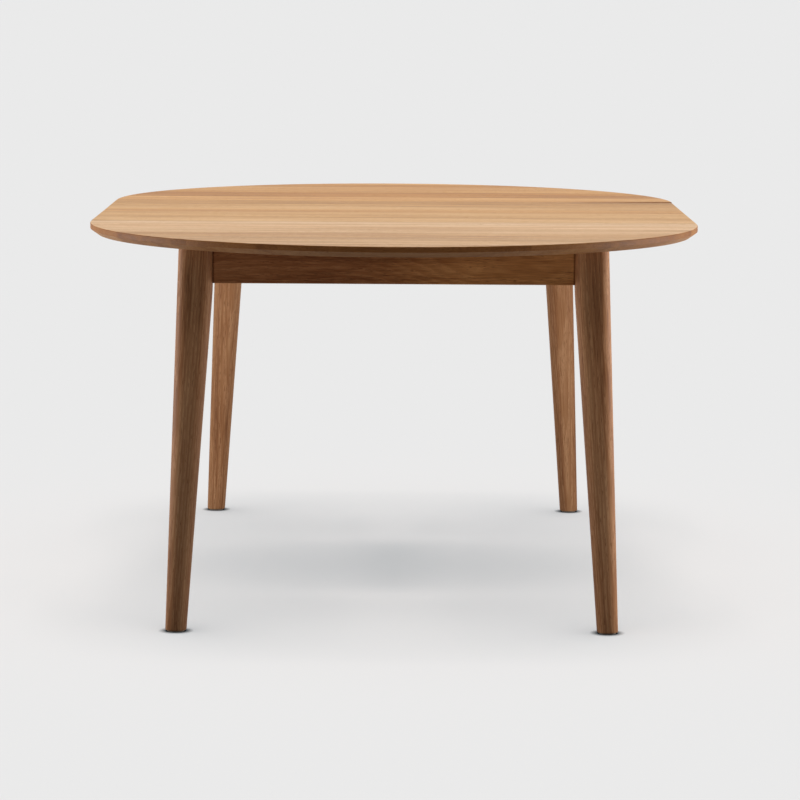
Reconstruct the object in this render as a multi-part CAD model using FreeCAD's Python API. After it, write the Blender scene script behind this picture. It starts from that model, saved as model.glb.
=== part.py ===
import FreeCAD, Part
import math
import os

# Extending dining table in solid oak. The round top is cut into two halves that slide apart on a
# pair of geared slides, and a loose leaf drops into the opening. The legs travel with the halves.
# Lengths are millimetres. The origin is on the floor under the middle of the table, +Z is up, the
# table extends along Y and the front half lies at -Y. At rest the leaf is in place.

# Whole table
table_height = 744.0
top_width = 1200.0
leaf_opening = 600.0

# Top halves and leaf
top_thickness = 20.5
rim_band = 10.5
rim_bevel_run = 14.0
rim_round = 1.5
seam_gap = 0.4
seam_ease = 0.6
backcut_spare = 0.6
lift_share = 10 / 3

# Legs and their glides
leg_inset_x = 195.0
leg_inset_y = 187.0
leg_width = 66.0
foot_width = 40.0
leg_knee_drop = 10.0
leg_lean_share = 0.055
leg_corner_share = 0.33
foot_corner_share = 0.45
glide_thickness = 2.5
glide_radius = 16.0
glide_pin_radius = 1.6
glide_pin_length = 18.0

# Aprons with stub tenons and a groove for the top's buttons
apron_height = 67.0
apron_thickness = 22.0
apron_setback = 22.0
apron_ease = 2.0
tenon_thickness = 10.0
tenon_length = 24.0
tenon_shoulder = 10.0
groove_drop = 12.0
groove_height = 8.0
groove_depth = 9.0

# Corner braces with their bolts and flange nuts
brace_reach = 79.0
brace_thickness = 25.0
brace_height = 45.0
bolt_radius = 4.0
bolt_depth = 22.0
bolt_end = 3.0
nut_across_flats = 13.0
nut_height = 7.0
nut_flange_radius = 9.0
nut_flange_height = 1.6

# Buttons that hold the top down on the aprons
button_width = 28.0
button_reach = 30.0
button_tongue_play = 0.5
end_button_shares = (-0.18, 0.0, 0.18)
side_button_shares = (0.2, 0.5)

# Wood screws
screw_radius = 2.5
screw_head_radius = 4.5
screw_head_height = 3.0
screw_tip = 5.0
screw_bite = 13.0

# Slides: an outer member under the front half, an inner one under the back half, a centre between
slide_inset = 126.0
slide_end_room = 39.0
slide_height = 46.0
slide_thickness = 22.0
centre_thickness = 40.0
centre_drop = 4.0
slide_clearance = 0.4
tongue_drop = 15.0
tongue_root = 10.0
tongue_tip = 14.0
tongue_reach = 8.0
slide_screw_shares = (0.12, 0.4)
slide_counterbore = 24.0
counterbore_play = 0.5

# Rack and pinion of each slide
pinion_teeth = 22
pinion_thickness = 8.0
pinion_play = 0.5
pinion_slot_play = 1.5
gear_rise = 10.0
gear_backlash = 0.5
pressure_angle = math.radians(20)
addendum_share = 0.8
dedendum_share = 1.0
rack_height = 10.0
rack_back = 4.0
rack_margin = 20.0
axle_radius = 4.0
axle_seat = 12.0
running_fit = 0.08

# Tie between the two centre members
tie_width = 120.0
tie_thickness = 15.0
tie_screw_share = 0.375
tie_screw_bite = 22.0

# Battens under the leaf
batten_width = 40.0
batten_height = 25.0
batten_play = 1.0
batten_end_spare = 6.0
batten_counterbore = 8.0
batten_screw_shares = (-0.42, 0.0, 0.42)

# Leaf locks: a lever turns across the seam and takes a stud
lock_inset = 140.0
lock_pivot_setback = 40.0
lock_stud_setback = 25.0
lever_thickness = 5.0
lever_hub_radius = 11.0
lever_hub_height = 9.6
lever_width = 28.0
lever_finger = 8.0
lever_tail = 45.0
lever_tail_width = 16.0
lever_knob_radius = 8.0
lever_knob_height = 7.0
stud_radius = 4.0
stud_play = 3.0
stud_bite = 13.0
pivot_head_radius = 9.0
pivot_head_height = 3.0
pivot_head_play = 0.3

# How far a cutting shape runs past the surface that it opens
overrun = 2.0

# Heights and places that follow from the sizes above
top_under = table_height - top_thickness
rim_bevel_height = top_thickness - rim_band
top_radius = top_width / 2
seam_y = leaf_opening / 2
travel = (leaf_opening - seam_gap) / 2
apron_under = top_under - apron_height
knee_z = apron_under - leg_knee_drop
taper_share = (leg_width - foot_width) / 2 / knee_z
leg_x_out = top_radius - leg_inset_x
leg_x_in = leg_x_out - leg_width
leg_y_out = seam_y + top_radius - leg_inset_y
leg_y_in = leg_y_out - leg_width
apron_x_out = leg_x_out - apron_setback
apron_x_in = apron_x_out - apron_thickness
apron_y_out = leg_y_out - apron_setback
apron_y_in = apron_y_out - apron_thickness
groove_top = top_under - groove_drop
groove_under = groove_top - groove_height
centre_half = centre_thickness / 2
slide_offset = apron_x_in - slide_inset
slide_length = 2 * (apron_y_in - seam_y - slide_end_room)
slide_top = top_under - slide_clearance
slide_under = top_under - slide_height
slide_near = slide_offset + centre_half + slide_clearance
slide_far = slide_near + slide_thickness
slide_start = -slide_length / 2 - travel
slide_end = slide_start + slide_length
centre_under = slide_under - centre_drop
tongue_z = top_under - tongue_drop
gear_z = slide_under + gear_rise
pinion_radius = (centre_half + slide_clearance) / (1 - 2 * addendum_share / pinion_teeth)
gear_module = 2 * pinion_radius / pinion_teeth
gear_pitch = math.pi * gear_module
addendum = addendum_share * gear_module
dedendum = dedendum_share * gear_module
tooth_half = gear_pitch / 4 - gear_backlash / 2
tooth_half_tip = tooth_half - addendum * math.tan(pressure_angle)
tooth_half_root = tooth_half + dedendum * math.tan(pressure_angle)
batten_near = slide_far + batten_play
batten_under = top_under - batten_height
batten_half_length = seam_y - (top_thickness + batten_height) / lift_share - batten_end_spare
lock_offset = top_radius - lock_inset
lever_top = top_under - slide_clearance
lever_under = lever_top - lever_hub_height
lever_pin_distance = lock_pivot_setback + lock_stud_setback
lever_slot_half = stud_radius + stud_play

# Names of the two sides and the two ends, with the sign of X or Y that each lies at
SIDES = (("left", -1), ("right", 1))
ENDS = (("front", -1), ("back", 1))

vector = FreeCAD.Vector
UP = vector(0, 0, 1)


def block(x_span, y_span, z_span):
    """Box between the lower and higher value given on each axis."""
    low = vector(min(x_span), min(y_span), min(z_span))
    sizes = [max(span) - min(span) for span in (x_span, y_span, z_span)]
    return Part.makeBox(sizes[0], sizes[1], sizes[2], low)


def rod(radius, start, end):
    """Round bar from one point to another."""
    return Part.makeCylinder(radius, (end - start).Length, start, end - start)


def post(radius, x, y, z_span):
    """Upright round bar at one place in plan."""
    return rod(radius, vector(x, y, min(z_span)), vector(x, y, max(z_span)))


def prism(points, push):
    """Solid with the closed outline through the points, pushed along a vector."""
    outline = Part.makePolygon(points + points[:1])
    return Part.Face(outline).extrude(push)


def mirrored(shape, side, end):
    """Copy of a shape made for the front right corner, for another side and end."""
    origin = vector(0, 0, 0)
    if side < 0:
        shape = shape.mirror(origin, vector(1, 0, 0))
    if end > 0:
        shape = shape.mirror(origin, vector(0, 1, 0))
    return shape


def cut_all(shape, tools):
    """Shape with every tool taken out of it."""
    for tool in tools:
        shape = shape.cut(tool)
    return shape


def screw(x, y, seat, reach):
    """Pan-head wood screw driven upwards, its head below the seat height, its point at the reach."""
    profile = (
        (0, seat - screw_head_height),
        (screw_head_radius, seat - screw_head_height),
        (screw_head_radius, seat),
        (screw_radius, seat),
        (screw_radius, reach - screw_tip),
        (0, reach),
    )
    points = [vector(x + radius, y, z) for radius, z in profile]
    outline = Part.makePolygon(points + points[:1])
    return Part.Face(outline).revolve(vector(x, y, 0), UP, 360)


def screw_recess(x, y, seat, under):
    """Counterbore that lets a screw head in from the underside up to its seat."""
    radius = screw_head_radius + counterbore_play
    return post(radius, x, y, (under - overrun, seat))


def rim_profile(centre):
    """Edges of the rim from the underside to the upper face, in the XZ plane, and their end points."""
    edge = centre + top_radius
    inner = vector(edge - rim_bevel_run, 0, top_under)
    arris = vector(edge, 0, top_under + rim_bevel_height)
    shoulder = vector(edge, 0, table_height - rim_round)
    crown = vector(edge - rim_round, 0, table_height)
    bend = rim_round * (1 - math.sqrt(0.5))
    middle = vector(edge - bend, 0, table_height - bend)
    edges = [
        Part.LineSegment(inner, arris).toShape(),
        Part.LineSegment(arris, shoulder).toShape(),
        Part.Arc(shoulder, middle, crown).toShape(),
    ]
    return edges, inner, crown


def half_top():
    """Front half of the round top: half a turn of the rim profile, eased along its seam."""
    edges, inner, crown = rim_profile(0)
    foot = vector(0, 0, top_under)
    head = vector(0, 0, table_height)
    edges.append(Part.LineSegment(crown, head).toShape())
    edges.append(Part.LineSegment(head, foot).toShape())
    edges.append(Part.LineSegment(foot, inner).toShape())
    face = Part.Face(Part.Wire(Part.__sortEdges__(edges)))
    disc = face.revolve(vector(0, 0, 0), vector(0, 0, -1), 180).removeSplitter()
    disc.translate(vector(0, -seam_y, 0))
    half_length = top_radius + overrun
    ease = prism(
        [
            vector(-half_length, -seam_y + overrun, table_height + overrun),
            vector(-half_length, -seam_y - seam_ease - overrun, table_height + overrun),
            vector(-half_length, -seam_y + overrun, table_height - seam_ease - overrun),
        ],
        vector(2 * half_length, 0, 0),
    )
    return disc.cut(ease)


def leaf_board():
    """Leaf: the rim profile on both ends, with its two long edges cut back towards the underside."""
    right, inner, crown = rim_profile(0)
    edges = list(right)
    for edge in right:
        edges.append(edge.mirror(vector(0, 0, 0), vector(1, 0, 0)))
    edges.append(Part.LineSegment(crown, vector(-crown.x, 0, crown.z)).toShape())
    edges.append(Part.LineSegment(inner, vector(-inner.x, 0, inner.z)).toShape())
    face = Part.Face(Part.Wire(Part.__sortEdges__(edges)))
    board = face.extrude(vector(0, leaf_opening, 0))
    board.translate(vector(0, -seam_y, 0))
    half = seam_y - seam_gap
    half_under = half - top_thickness / lift_share - backcut_spare
    outline = (
        (-half_under, top_under),
        (half_under, top_under),
        (half, table_height - seam_ease),
        (half - seam_ease, table_height),
        (-half + seam_ease, table_height),
        (-half, table_height - seam_ease),
    )
    start = -top_radius - overrun
    section = [vector(start, y, z) for y, z in outline]
    return board.common(prism(section, vector(-2 * start, 0, 0)))


def rounded_section(x_span, y_span, corner, z):
    """Closed outline of a rectangle with round corners, at one height."""
    x0, x1 = x_span
    y0, y1 = y_span
    bend = corner * (1 - math.sqrt(0.5))
    corners = (
        ((x1 - corner, y0), (x1 - bend, y0 + bend), (x1, y0 + corner)),
        ((x1, y1 - corner), (x1 - bend, y1 - bend), (x1 - corner, y1)),
        ((x0 + corner, y1), (x0 + bend, y1 - bend), (x0, y1 - corner)),
        ((x0, y0 + corner), (x0 + bend, y0 + bend), (x0 + corner, y0)),
    )
    points = [[vector(x, y, z) for x, y in corner_points] for corner_points in corners]
    edges = []
    for index, (start, middle, end) in enumerate(points):
        edges.append(Part.Arc(start, middle, end).toShape())
        edges.append(Part.LineSegment(end, points[(index + 1) % len(points)][0]).toShape())
    return Part.Wire(edges)


def leg_section(z):
    """Outline of the front right leg at one height: upright inside above the knee, leaning below it."""
    drop = knee_z - z
    outside = drop * (leg_lean_share - taper_share)
    inside = max(drop, 0) * (leg_lean_share + taper_share)
    x_span = (leg_x_in + inside, leg_x_out + outside)
    y_span = (-leg_y_out - outside, -leg_y_in - inside)
    down_share = min(max(drop, 0) / knee_z, 1)
    corner_share = leg_corner_share + (foot_corner_share - leg_corner_share) * down_share
    return rounded_section(x_span, y_span, corner_share * (x_span[1] - x_span[0]), z)


def leg_blank():
    """Front right leg before its joints are cut: rounded square sections from the foot to the top."""
    sections = [leg_section(z) for z in (glide_thickness, knee_z, top_under)]
    return Part.makeLoft(sections, True, True)


def glide():
    """Round glide under the front right foot, with the pin that holds it."""
    middle = (leg_x_in + leg_x_out) / 2 + knee_z * leg_lean_share
    middle_y = -(leg_y_in + leg_y_out) / 2 - knee_z * leg_lean_share
    disc = post(glide_radius, middle, middle_y, (0, glide_thickness))
    pin = post(glide_pin_radius, middle, middle_y, (0, glide_thickness + glide_pin_length))
    return disc.fuse(pin).removeSplitter()


def apron_bar(face_in, face_out, start, end):
    """Bar of the apron's section between two places, eased along its lower edges, running along Y."""
    outline = (
        (face_in, top_under),
        (face_in, apron_under + apron_ease),
        (face_in + apron_ease, apron_under),
        (face_out - apron_ease, apron_under),
        (face_out, apron_under + apron_ease),
        (face_out, top_under),
    )
    points = [vector(x, start, z) for x, z in outline]
    return prism(points, vector(0, end - start, 0))


def tenon_heights():
    """Lower and upper height of a stub tenon."""
    return (apron_under + tenon_shoulder, top_under - tenon_shoulder)


def end_tenon():
    """Stub tenon of the front apron in the front right leg."""
    middle = -(apron_y_in + apron_y_out) / 2
    y_span = (middle - tenon_thickness / 2, middle + tenon_thickness / 2)
    return block((leg_x_in, leg_x_in + tenon_length), y_span, tenon_heights())


def side_tenon():
    """Stub tenon of the right side apron in the front right leg."""
    middle = (apron_x_in + apron_x_out) / 2
    x_span = (middle - tenon_thickness / 2, middle + tenon_thickness / 2)
    return block(x_span, (-leg_y_in, -leg_y_in - tenon_length), tenon_heights())


def end_apron():
    """Front apron between the two front legs, with a tenon at each end and its button groove."""
    bar = apron_bar(apron_y_in, apron_y_out, -leg_x_in, leg_x_in)
    bar.rotate(vector(0, 0, 0), UP, -90)
    for side_name, side in SIDES:
        bar = bar.fuse(mirrored(end_tenon(), side, -1))
    y_span = (-apron_y_in - groove_depth, -apron_y_in + overrun)
    return bar.cut(block((-leg_x_in, leg_x_in), y_span, (groove_under, groove_top)))


def side_apron():
    """Right side apron of the front half, from the leg to the seam, with its button groove."""
    bar = apron_bar(apron_x_in, apron_x_out, -leg_y_in, -seam_y).fuse(side_tenon())
    x_span = (apron_x_in - overrun, apron_x_in + groove_depth)
    return bar.cut(block(x_span, (-leg_y_in, -seam_y + overrun), (groove_under, groove_top)))


def corner_point(inward, z):
    """Point on the diagonal of the front right corner, at a distance from where the aprons' faces meet."""
    step = inward * math.sqrt(0.5)
    return vector(apron_x_in - step, -apron_y_in + step, z)


def brace():
    """Diagonal brace across the front right corner, between the inner faces of the two aprons."""
    middle_z = (apron_under + top_under) / 2
    far = brace_reach + brace_thickness * math.sqrt(2)
    outline = (
        (apron_x_in - brace_reach, -apron_y_in),
        (apron_x_in - far, -apron_y_in),
        (apron_x_in, -apron_y_in + far),
        (apron_x_in, -apron_y_in + brace_reach),
    )
    points = [vector(x, y, middle_z - brace_height / 2) for x, y in outline]
    return prism(points, vector(0, 0, brace_height))


def leg_bolt():
    """Bolt set into the front right leg's inner corner, through the brace."""
    middle_z = (apron_under + top_under) / 2
    corner = leg_corner_share * leg_width
    leg_face = (apron_x_in - leg_x_in + apron_y_in - leg_y_in) * math.sqrt(0.5)
    leg_face -= corner * (math.sqrt(2) - 1)
    brace_face = brace_reach * math.sqrt(0.5) + brace_thickness
    tip = brace_face + nut_height + bolt_end
    return rod(bolt_radius, corner_point(leg_face - bolt_depth, middle_z), corner_point(tip, middle_z))


def leg_nut():
    """Flange nut on the front right bolt, against the brace."""
    middle_z = (apron_under + top_under) / 2
    face = brace_reach * math.sqrt(0.5) + brace_thickness
    start = corner_point(face, middle_z)
    inward = (corner_point(face + nut_height, middle_z) - start) / nut_height
    across = inward.cross(UP)
    corner_radius = nut_across_flats / math.sqrt(3)
    points = []
    for turn in range(6):
        angle = turn * math.pi / 3
        points.append(start + across * corner_radius * math.cos(angle) + UP * corner_radius * math.sin(angle))
    nut = prism(points, inward * nut_height)
    return nut.fuse(rod(nut_flange_radius, start, start + inward * nut_flange_height)).removeSplitter()


def end_button_places():
    """Places along X of the buttons on the front apron."""
    return [share * 2 * leg_x_in for share in end_button_shares]


def side_button_places():
    """Places along Y of the buttons on a side apron of the front half."""
    return [-seam_y - share * (leg_y_in - seam_y) for share in side_button_shares]


def front_buttons():
    """Buttons of the front half, with the places of their screws."""
    tongue = groove_depth - button_tongue_play
    heights = (groove_under, top_under)
    tongue_heights = (groove_under, groove_top)
    buttons = []
    places = []
    for x in end_button_places():
        x_span = (x - button_width / 2, x + button_width / 2)
        body = block(x_span, (-apron_y_in, -apron_y_in + button_reach), heights)
        lip = block(x_span, (-apron_y_in - tongue, -apron_y_in), tongue_heights)
        buttons.append(body.fuse(lip).removeSplitter())
        places.append((x, -apron_y_in + button_reach / 2))
    for side_name, side in SIDES:
        for y in side_button_places():
            y_span = (y - button_width / 2, y + button_width / 2)
            body = block((side * apron_x_in, side * (apron_x_in - button_reach)), y_span, heights)
            lip = block((side * apron_x_in, side * (apron_x_in + tongue)), y_span, tongue_heights)
            buttons.append(body.fuse(lip).removeSplitter())
            places.append((side * (apron_x_in - button_reach / 2), y))
    return buttons, places


def dovetail(face, clearance):
    """Section of the guide tongue from a face outwards, or of its groove with the clearance added."""
    tip = slide_offset + centre_half + tongue_reach
    slope_share = (tongue_tip - tongue_root) / 2 / tongue_reach
    lead = face - slide_offset - centre_half
    half_root = tongue_root / 2 + lead * slope_share + clearance
    half_tip = half_root + (tip + clearance - face) * slope_share
    return (
        (face, tongue_z - half_root),
        (tip + clearance, tongue_z - half_tip),
        (tip + clearance, tongue_z + half_tip),
        (face, tongue_z + half_root),
    )


def along_slide(outline, start, end):
    """Prism of an XZ outline between two places along Y."""
    return prism([vector(x, start, z) for x, z in outline], vector(0, end - start, 0))


def rack_groove():
    """Groove that holds the rack in the right outer member."""
    depth = addendum + dedendum + rack_back
    heights = (gear_z - rack_height / 2, gear_z + rack_height / 2)
    return block((slide_near, slide_near + depth), (-travel - rack_margin, slide_end), heights)


def slide_screw_places():
    """Places of the screws that hold the right outer member to the front half."""
    x = (slide_near + tongue_reach + slide_clearance + slide_far) / 2
    return [(x, slide_start + share * slide_length) for share in slide_screw_shares]


def outer_member():
    """Right outer member under the front half, lowered a little where the other half passes over it."""
    bar = block((slide_near, slide_far), (slide_start, slide_end), (slide_under, top_under))
    relief = block(
        (slide_near - overrun, slide_far + overrun),
        (-seam_y, slide_end + overrun),
        (slide_top, top_under + overrun),
    )
    guide = along_slide(dovetail(slide_near, slide_clearance), slide_start - overrun, slide_end + overrun)
    return cut_all(bar, (relief, guide, rack_groove()))


def rack():
    """Rack in the right outer member, with a gap between teeth opposite the pinion's axle."""
    start = -travel - rack_margin
    tip_x = slide_near
    root_x = slide_near + addendum + dedendum
    back_x = root_x + rack_back
    first = math.ceil((start + tooth_half_root) / gear_pitch - 1 / 2)
    last = math.floor((slide_end - tooth_half_root) / gear_pitch - 1 / 2)
    outline = [(back_x, slide_end), (back_x, start), (root_x, start)]
    for tooth in range(first, last + 1):
        middle = (tooth + 1 / 2) * gear_pitch
        outline.append((root_x, middle - tooth_half_root))
        outline.append((tip_x, middle - tooth_half_tip))
        outline.append((tip_x, middle + tooth_half_tip))
        outline.append((root_x, middle + tooth_half_root))
    outline.append((root_x, slide_end))
    points = [vector(x, y, gear_z - rack_height / 2) for x, y in outline]
    return prism(points, vector(0, 0, rack_height))


def pinion():
    """Pinion of the right slide, on an upright axle, with a tooth pointing at each rack."""
    outline = []
    for tooth in range(pinion_teeth):
        angle = 2 * math.pi * tooth / pinion_teeth
        radial = vector(math.cos(angle), math.sin(angle), 0)
        across = vector(-math.sin(angle), math.cos(angle), 0)
        root = radial * (pinion_radius - dedendum)
        tip = radial * (pinion_radius + addendum)
        outline.append(root - across * tooth_half_root)
        outline.append(tip - across * tooth_half_tip)
        outline.append(tip + across * tooth_half_tip)
        outline.append(root + across * tooth_half_root)
    place = vector(slide_offset, 0, gear_z - pinion_thickness / 2)
    wheel = prism([point + place for point in outline], vector(0, 0, pinion_thickness))
    heights = (gear_z - pinion_thickness, gear_z + pinion_thickness)
    return wheel.cut(post(axle_radius + running_fit, slide_offset, 0, heights))


def pinion_axle():
    """Upright pin that carries the right pinion in the centre member."""
    return post(axle_radius, slide_offset, 0, (centre_under, gear_z + pinion_thickness / 2 + axle_seat))


def centre_member():
    """Right centre member with a guide tongue on each side and the pinion's slot."""
    x_span = (slide_offset - centre_half, slide_offset + centre_half)
    bar = block(x_span, (-slide_length / 2, slide_length / 2), (centre_under, slide_top))
    outline = dovetail(slide_offset + centre_half, 0)
    outer = along_slide(outline, -slide_length / 2, slide_length / 2)
    other = [(2 * slide_offset - x, z) for x, z in outline]
    inner = along_slide(other, -slide_length / 2, slide_length / 2)
    slot_half = pinion_radius + addendum + pinion_slot_play
    slot_rise = pinion_thickness / 2 + pinion_play
    slot = block(
        (x_span[0] - overrun, x_span[1] + overrun),
        (-slot_half, slot_half),
        (gear_z - slot_rise, gear_z + slot_rise),
    )
    return cut_all(bar.fuse(outer).fuse(inner), (slot, pinion_axle()))


def batten():
    """Right batten under the leaf, beside the slide, which keeps the leaf central."""
    x_span = (batten_near, batten_near + batten_width)
    return block(x_span, (-batten_half_length, batten_half_length), (batten_under, top_under))


def lever():
    """Right lock lever, turned back along the seam: hub, slotted hook and tail, about its own pivot."""
    heights = (lever_under, lever_under + lever_thickness)
    arm_end = lever_pin_distance + lever_slot_half + lever_finger
    half = lever_width / 2
    plate = block((0, arm_end), (-half, half), heights)
    tail = block((-lever_tail, 0), (-lever_tail_width / 2, lever_tail_width / 2), heights)
    knob_heights = (lever_under - lever_knob_height, lever_under + lever_thickness)
    knob = post(lever_knob_radius, -lever_tail, 0, knob_heights)
    hub = post(lever_hub_radius, 0, 0, (lever_under, lever_top))
    body = plate.fuse(tail).fuse(knob).fuse(hub)
    tall = (lever_under - overrun, lever_top + overrun)
    ring = post(lever_pin_distance + lever_slot_half, 0, 0, tall)
    ring = ring.cut(post(lever_pin_distance - lever_slot_half, 0, 0, tall))
    ring = ring.common(block((0, arm_end), (0, half + overrun), tall))
    eye = post(lever_slot_half, lever_pin_distance, 0, tall)
    bore = post(stud_radius + running_fit, 0, 0, tall)
    return cut_all(body, (ring, eye, bore)).removeSplitter()


def lock_pivot(x, y):
    """Shoulder screw that a lock lever turns on."""
    head_top = lever_under - pivot_head_play
    shank = post(stud_radius, x, y, (head_top, top_under + stud_bite))
    head = post(pivot_head_radius, x, y, (head_top - pivot_head_height, head_top))
    return shank.fuse(head).removeSplitter()


def lock_stud(x, y):
    """Stud that a lock lever takes, set into the underside beyond the seam."""
    return post(stud_radius, x, y, (lever_under, top_under + stud_bite))


nodes = {}

# Leaf locks: levers on the front half and on the leaf, studs on the leaf and on the back half
lock_rows = {"front": -seam_y - lock_pivot_setback, "leaf": seam_y - lock_pivot_setback}
stud_rows = {"leaf": -seam_y + lock_stud_setback, "back": seam_y + lock_stud_setback}
lock_pivots = {}
for row, y in lock_rows.items():
    lock_pivots[row] = [lock_pivot(side * lock_offset, y) for side_name, side in SIDES]
    nodes["lock_pivots_" + row] = Part.makeCompound(lock_pivots[row])
    for side_name, side in SIDES:
        piece = lever()
        piece.translate(vector(lock_offset, y, 0))
        nodes["lock_lever_" + row + "_" + side_name] = mirrored(piece, side, -1)
lock_studs = {}
for row, y in stud_rows.items():
    lock_studs[row] = [lock_stud(side * lock_offset, y) for side_name, side in SIDES]
    nodes["lock_studs_" + row] = Part.makeCompound(lock_studs[row])

# Slides: the back half's members are the front half's turned half round about the pinion's axle
slide_screws = {"front": [], "back": []}
for side_name, side in SIDES:
    for end_name, end in ENDS:
        turn = 0 if end < 0 else 180
        drives = [
            screw(x, y, slide_under + slide_counterbore, top_under + screw_bite)
            for x, y in slide_screw_places()
        ]
        recesses = [
            screw_recess(x, y, slide_under + slide_counterbore, slide_under)
            for x, y in slide_screw_places()
        ]
        pieces = [cut_all(outer_member(), drives + recesses), rack()] + drives
        for piece in pieces:
            piece.rotate(vector(slide_offset, 0, 0), UP, turn)
        pieces = [mirrored(piece, side, -1) for piece in pieces]
        nodes["slide_" + end_name + "_" + side_name] = pieces[0]
        nodes["rack_" + end_name + "_" + side_name] = pieces[1]
        slide_screws[end_name] += pieces[2:]
    nodes["pinion_" + side_name] = mirrored(pinion(), side, -1)
    nodes["pinion_axle_" + side_name] = mirrored(pinion_axle(), side, -1)
for end_name, end in ENDS:
    nodes["slide_screws_" + end_name] = Part.makeCompound(slide_screws[end_name])

# Tie under the two centre members, with its screws
tie_under = centre_under - tie_thickness
tie_end = slide_offset + centre_half
tie_screws = [
    screw(side * slide_offset, row * tie_screw_share * tie_width, tie_under, centre_under + tie_screw_bite)
    for side_name, side in SIDES
    for row in (-1, 1)
]
tie = block((-tie_end, tie_end), (-tie_width / 2, tie_width / 2), (tie_under, centre_under))
nodes["slide_tie"] = cut_all(tie, tie_screws)
nodes["tie_screws"] = Part.makeCompound(tie_screws)
for side_name, side in SIDES:
    member = mirrored(centre_member(), side, -1)
    nodes["slide_centre_" + side_name] = cut_all(member, tie_screws)

# Half tops with the buttons that hold them, each cut for what is driven into it
for end_name, end in ENDS:
    buttons, places = front_buttons()
    button_screws = [screw(x, y, groove_under, top_under + screw_bite) for x, y in places]
    bored = [button.cut(drive) for button, drive in zip(buttons, button_screws)]
    bored = [mirrored(button, 1, end) for button in bored]
    button_screws = [mirrored(drive, 1, end) for drive in button_screws]
    nodes["top_buttons_" + end_name] = Part.makeCompound(bored)
    nodes["button_screws_" + end_name] = Part.makeCompound(button_screws)
    locks = lock_pivots["front"] if end < 0 else lock_studs["back"]
    fixings = button_screws + slide_screws[end_name] + locks
    nodes[end_name + "_top"] = cut_all(mirrored(half_top(), 1, end), fixings)

# Leaf with its two battens
batten_screws = []
batten_middle = batten_near + batten_width / 2
for side_name, side in SIDES:
    piece = mirrored(batten(), side, -1)
    for share in batten_screw_shares:
        place = (side * batten_middle, share * 2 * batten_half_length)
        seat = batten_under + batten_counterbore
        drive = screw(place[0], place[1], seat, top_under + screw_bite)
        batten_screws.append(drive)
        piece = cut_all(piece, (drive, screw_recess(place[0], place[1], seat, batten_under)))
    nodes["leaf_batten_" + side_name] = piece
nodes["batten_screws"] = Part.makeCompound(batten_screws)
nodes["leaf_panel"] = cut_all(leaf_board(), batten_screws + lock_pivots["leaf"] + lock_studs["leaf"])

# Legs, aprons and corners of both halves
leg = cut_all(leg_blank(), (end_tenon(), side_tenon(), leg_bolt(), glide()))
corner_pieces = {
    "leg": leg,
    "foot_glide": glide(),
    "side_apron": side_apron(),
    "corner_brace": brace().cut(leg_bolt()),
}
for end_name, end in ENDS:
    nodes[end_name + "_apron"] = mirrored(end_apron(), 1, end)
    for side_name, side in SIDES:
        for name, piece in corner_pieces.items():
            nodes[name + "_" + end_name + "_" + side_name] = mirrored(piece, side, end)
    bolts = [mirrored(leg_bolt(), side, end) for side_name, side in SIDES]
    nuts = [mirrored(leg_nut().cut(leg_bolt()), side, end) for side_name, side in SIDES]
    nodes["leg_bolts_" + end_name] = Part.makeCompound(bolts)
    nodes["leg_nuts_" + end_name] = Part.makeCompound(nuts)

os.makedirs("parts", exist_ok=True)
for name, shape in nodes.items():
    shape.exportStep(os.path.join("parts", name + ".step"))
    print(name, len(shape.Solids), shape.isValid(), round(shape.Volume))
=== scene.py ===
import math

import bpy
import numpy as np
from mathutils import Matrix, Vector


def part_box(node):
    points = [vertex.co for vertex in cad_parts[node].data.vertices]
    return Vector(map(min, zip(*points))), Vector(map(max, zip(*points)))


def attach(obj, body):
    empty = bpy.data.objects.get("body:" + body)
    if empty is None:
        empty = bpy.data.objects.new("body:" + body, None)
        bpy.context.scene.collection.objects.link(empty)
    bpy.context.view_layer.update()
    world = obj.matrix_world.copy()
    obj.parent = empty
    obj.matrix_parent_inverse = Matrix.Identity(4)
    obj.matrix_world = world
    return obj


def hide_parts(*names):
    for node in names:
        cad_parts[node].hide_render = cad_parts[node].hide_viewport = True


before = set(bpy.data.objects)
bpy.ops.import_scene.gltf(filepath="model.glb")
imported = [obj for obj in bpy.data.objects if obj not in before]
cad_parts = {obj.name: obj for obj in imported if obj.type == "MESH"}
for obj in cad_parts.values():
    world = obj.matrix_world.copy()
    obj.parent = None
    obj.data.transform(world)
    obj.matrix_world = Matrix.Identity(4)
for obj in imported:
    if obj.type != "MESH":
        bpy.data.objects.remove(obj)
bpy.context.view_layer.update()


# Legs. Four oak legs, each shaped from one blank to a rounded square that tapers to the foot.
# They stand upright beside the aprons, lean outwards below the knee, and are finished with oil.
leg_width = 0.066
foot_width = 0.040
knee_drop = 0.010
knee_blend = 0.014
lean_share = 0.055
leg_corner_share = 0.33
foot_corner_share = 0.45
foot_round = 0.002
foot_round_steps = 5
shaft_margin = 0.05
shaft_steps = 10
knee_steps = 9
head_margin = 0.04
head_steps = 3
corner_steps = 10
flat_shares = (0.06, 0.5, 0.94)
leg_crease = 40


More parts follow.
